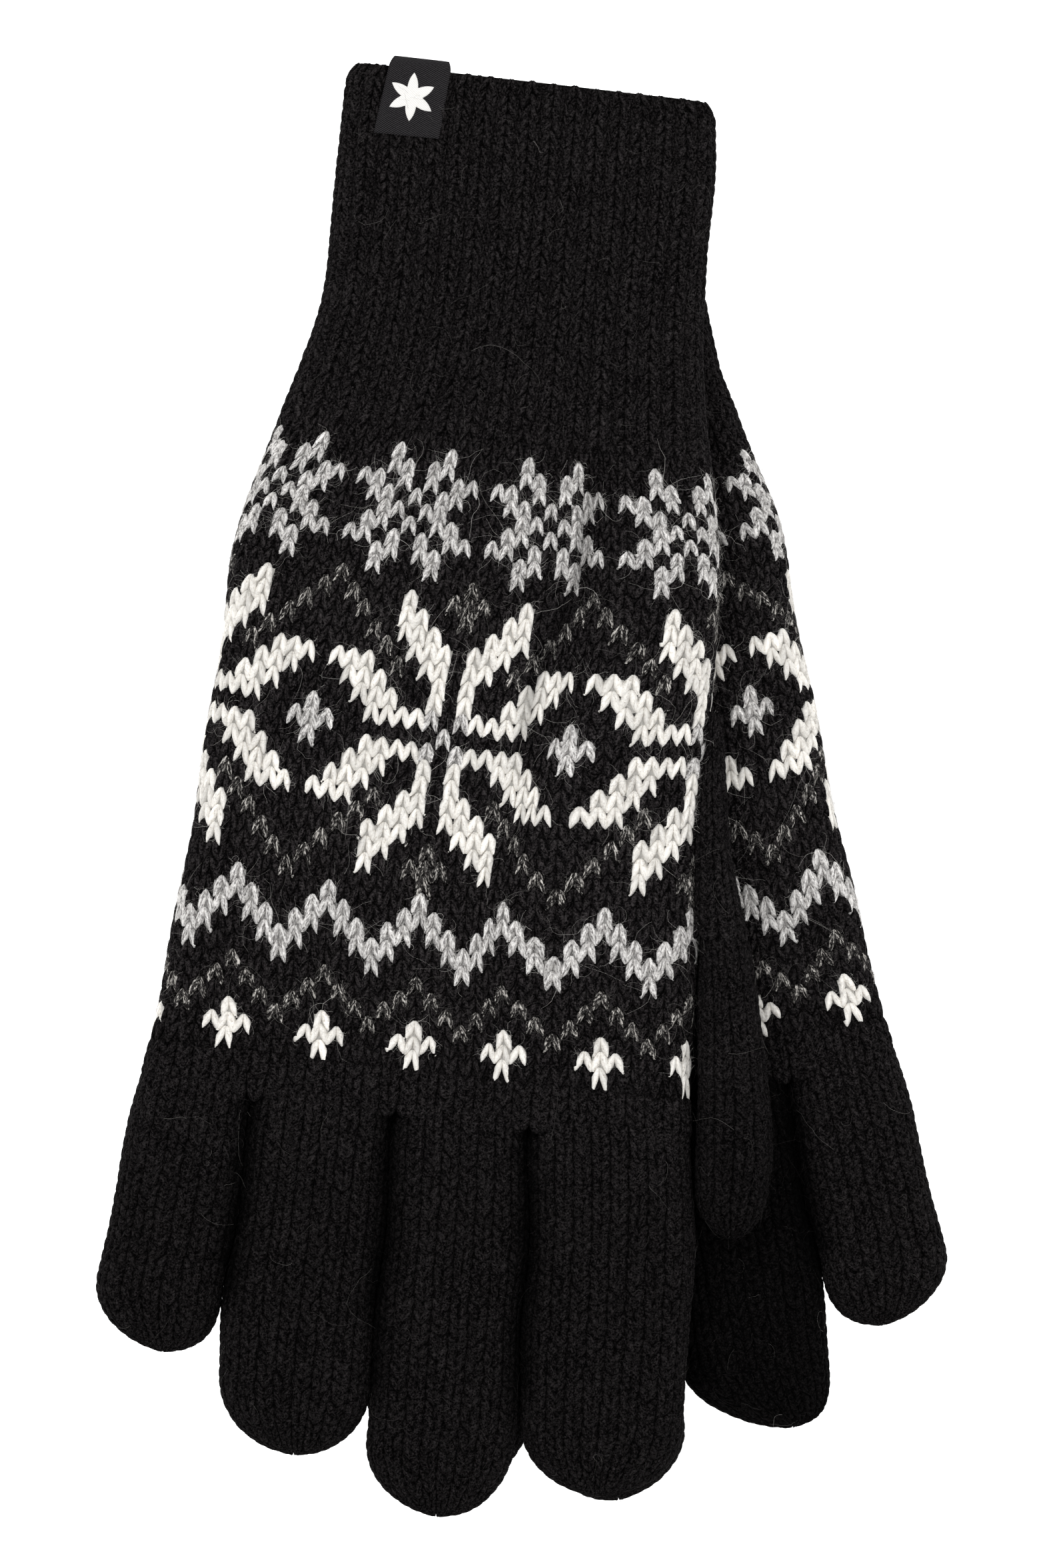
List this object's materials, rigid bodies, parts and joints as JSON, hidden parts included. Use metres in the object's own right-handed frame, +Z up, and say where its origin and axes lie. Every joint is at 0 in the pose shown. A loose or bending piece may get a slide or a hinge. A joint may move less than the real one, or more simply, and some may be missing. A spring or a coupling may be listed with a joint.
{
  "type": "pair of knitted gloves",
  "caption": "Pair of patterned knitted gloves with ribbed cuffs lying one on the other, with digits that fold at root and middle and spreading thumbs.",
  "frame": {"origin": "middle of the pair's bounding box, at the surface that the rear glove lies on", "axes": "+Z up from the surface; -Y towards the finger tips; +X towards the side where the front glove's thumb lies"},
  "size_m": [0.1494, 0.2578, 0.0248],
  "materials": {
    "rear_hand": "patterned wool knit",
    "rear_cuff": "ribbed wool knit",
    "rear_thumb_gusset": "patterned wool knit",
    "front_hand": "patterned wool knit",
    "front_cuff": "ribbed wool knit",
    "front_thumb_gusset": "patterned wool knit",
    "front_label": "woven twill tape",
    "front_label_mark": "woven thread",
    "front_little_lower": "patterned wool knit",
    "front_little_upper": "patterned wool knit",
    "front_ring_lower": "patterned wool knit",
    "front_ring_upper": "patterned wool knit",
    "front_middle_lower": "patterned wool knit",
    "front_middle_upper": "patterned wool knit",
    "front_index_lower": "patterned wool knit",
    "front_index_upper": "patterned wool knit",
    "front_thumb_lower": "patterned wool knit",
    "front_thumb_upper": "patterned wool knit",
    "rear_little_lower": "patterned wool knit",
    "rear_little_upper": "patterned wool knit",
    "rear_ring_lower": "patterned wool knit",
    "rear_ring_upper": "patterned wool knit",
    "rear_middle_lower": "patterned wool knit",
    "rear_middle_upper": "patterned wool knit",
    "rear_index_lower": "patterned wool knit",
    "rear_index_upper": "patterned wool knit",
    "rear_thumb_lower": "patterned wool knit",
    "rear_thumb_upper": "patterned wool knit"
  },
  "bodies": {
    "rear_glove": {"rear_hand": "rear_hand", "rear_cuff": "rear_cuff", "rear_thumb_gusset": "rear_thumb_gusset"},
    "front_glove": {"front_hand": "front_hand", "front_cuff": "front_cuff", "front_thumb_gusset": "front_thumb_gusset", "front_label": "front_label", "front_label_mark": "front_label_mark"},
    "front_little_lower": {"front_little_lower": "front_little_lower"},
    "front_little_upper": {"front_little_upper": "front_little_upper"},
    "front_ring_lower": {"front_ring_lower": "front_ring_lower"},
    "front_ring_upper": {"front_ring_upper": "front_ring_upper"},
    "front_middle_lower": {"front_middle_lower": "front_middle_lower"},
    "front_middle_upper": {"front_middle_upper": "front_middle_upper"},
    "front_index_lower": {"front_index_lower": "front_index_lower"},
    "front_index_upper": {"front_index_upper": "front_index_upper"},
    "front_thumb_lower": {"front_thumb_lower": "front_thumb_lower"},
    "front_thumb_upper": {"front_thumb_upper": "front_thumb_upper"},
    "rear_little_lower": {"rear_little_lower": "rear_little_lower"},
    "rear_little_upper": {"rear_little_upper": "rear_little_upper"},
    "rear_ring_lower": {"rear_ring_lower": "rear_ring_lower"},
    "rear_ring_upper": {"rear_ring_upper": "rear_ring_upper"},
    "rear_middle_lower": {"rear_middle_lower": "rear_middle_lower"},
    "rear_middle_upper": {"rear_middle_upper": "rear_middle_upper"},
    "rear_index_lower": {"rear_index_lower": "rear_index_lower"},
    "rear_index_upper": {"rear_index_upper": "rear_index_upper"},
    "rear_thumb_lower": {"rear_thumb_lower": "rear_thumb_lower"},
    "rear_thumb_upper": {"rear_thumb_upper": "rear_thumb_upper"}
  },
  "joints": [
    {"name": "front_lift", "type": "slide", "parent": "rear_glove", "child": "front_glove", "axis": [0, 0, 1], "range_m": [0, 0.12]},
    {"name": "front_little_root", "type": "hinge", "parent": "front_glove", "child": "front_little_lower", "pos_m": [-0.0573, -0.05146, 0.0245], "axis": [-0.9936, 0.1132, 0], "range_deg": [0, 90], "stiffness_Nm_per_rad": 0.04},
    {"name": "front_little_fold", "type": "hinge", "parent": "front_little_lower", "child": "front_little_upper", "pos_m": [-0.06148, -0.07414, 0.0245], "axis": [-0.9936, 0.1132, 0], "range_deg": [0, 90], "stiffness_Nm_per_rad": 0.04},
    {"name": "front_ring_root", "type": "hinge", "parent": "front_glove", "child": "front_ring_lower", "pos_m": [-0.03485, -0.05402, 0.0245], "axis": [-0.9936, 0.1132, 0], "range_deg": [0, 90], "stiffness_Nm_per_rad": 0.04},
    {"name": "front_ring_fold", "type": "hinge", "parent": "front_ring_lower", "child": "front_ring_upper", "pos_m": [-0.03808, -0.08284, 0.0245], "axis": [-0.9936, 0.1132, 0], "range_deg": [0, 90], "stiffness_Nm_per_rad": 0.04},
    {"name": "front_middle_root", "type": "hinge", "parent": "front_glove", "child": "front_middle_lower", "pos_m": [-0.01065, -0.05678, 0.0245], "axis": [-0.9936, 0.1132, 0], "range_deg": [0, 90], "stiffness_Nm_per_rad": 0.04},
    {"name": "front_middle_fold", "type": "hinge", "parent": "front_middle_lower", "child": "front_middle_upper", "pos_m": [-0.01246, -0.08878, 0.0245], "axis": [-0.9936, 0.1132, 0], "range_deg": [0, 90], "stiffness_Nm_per_rad": 0.04},
    {"name": "front_index_root", "type": "hinge", "parent": "front_glove", "child": "front_index_lower", "pos_m": [0.01568, -0.05978, 0.0245], "axis": [-0.9936, 0.1132, 0], "range_deg": [0, 90], "stiffness_Nm_per_rad": 0.04},
    {"name": "front_index_fold", "type": "hinge", "parent": "front_index_lower", "child": "front_index_upper", "pos_m": [0.0153, -0.08993, 0.0245], "axis": [-0.9936, 0.1132, 0], "range_deg": [0, 90], "stiffness_Nm_per_rad": 0.04},
    {"name": "front_thumb_spread", "type": "hinge", "parent": "front_glove", "child": "front_thumb_lower", "pos_m": [0.03961, -0.02728, 0.0184], "axis": [0, 0, 1], "range_deg": [0, 35], "stiffness_Nm_per_rad": 0.04},
    {"name": "front_thumb_fold", "type": "hinge", "parent": "front_thumb_lower", "child": "front_thumb_upper", "pos_m": [0.03714, -0.05216, 0.0245], "axis": [-0.9936, 0.1132, 0], "range_deg": [0, 80], "stiffness_Nm_per_rad": 0.04},
    {"name": "rear_little_root", "type": "hinge", "parent": "rear_glove", "child": "rear_little_lower", "pos_m": [0.05587, -0.04756, -0.0001], "axis": [-0.9882, -0.153, 0], "range_deg": [-90, 0], "stiffness_Nm_per_rad": 0.04},
    {"name": "rear_little_fold", "type": "hinge", "parent": "rear_little_lower", "child": "rear_little_upper", "pos_m": [0.06096, -0.07005, -0.0001], "axis": [-0.9882, -0.153, 0], "range_deg": [-90, 0], "stiffness_Nm_per_rad": 0.04},
    {"name": "rear_ring_root", "type": "hinge", "parent": "rear_glove", "child": "rear_ring_lower", "pos_m": [0.03354, -0.05102, -0.0001], "axis": [-0.9882, -0.153, 0], "range_deg": [-90, 0], "stiffness_Nm_per_rad": 0.04},
    {"name": "rear_ring_fold", "type": "hinge", "parent": "rear_ring_lower", "child": "rear_ring_upper", "pos_m": [0.03792, -0.07968, -0.0001], "axis": [-0.9882, -0.153, 0], "range_deg": [-90, 0], "stiffness_Nm_per_rad": 0.04},
    {"name": "rear_middle_root", "type": "hinge", "parent": "rear_glove", "child": "rear_middle_lower", "pos_m": [0.00947, -0.05474, -0.0001], "axis": [-0.9882, -0.153, 0], "range_deg": [-90, 0], "stiffness_Nm_per_rad": 0.04},
    {"name": "rear_middle_fold", "type": "hinge", "parent": "rear_middle_lower", "child": "rear_middle_upper", "pos_m": [0.01256, -0.08665, -0.0001], "axis": [-0.9882, -0.153, 0], "range_deg": [-90, 0], "stiffness_Nm_per_rad": 0.04},
    {"name": "rear_index_root", "type": "hinge", "parent": "rear_glove", "child": "rear_index_lower", "pos_m": [-0.01672, -0.0588, -0.0001], "axis": [-0.9882, -0.153, 0], "range_deg": [-90, 0], "stiffness_Nm_per_rad": 0.04},
    {"name": "rear_index_fold", "type": "hinge", "parent": "rear_index_lower", "child": "rear_index_upper", "pos_m": [-0.01513, -0.08891, -0.0001], "axis": [-0.9882, -0.153, 0], "range_deg": [-90, 0], "stiffness_Nm_per_rad": 0.04},
    {"name": "rear_thumb_spread", "type": "hinge", "parent": "rear_glove", "child": "rear_thumb_lower", "pos_m": [-0.04193, -0.02728, 0.006], "axis": [0, 0, 1], "range_deg": [-35, 0], "stiffness_Nm_per_rad": 0.04},
    {"name": "rear_thumb_fold", "type": "hinge", "parent": "rear_thumb_lower", "child": "rear_thumb_upper", "pos_m": [-0.03847, -0.05205, -0.0001], "axis": [-0.9882, -0.153, 0], "range_deg": [-80, 0], "stiffness_Nm_per_rad": 0.04}
  ]
}
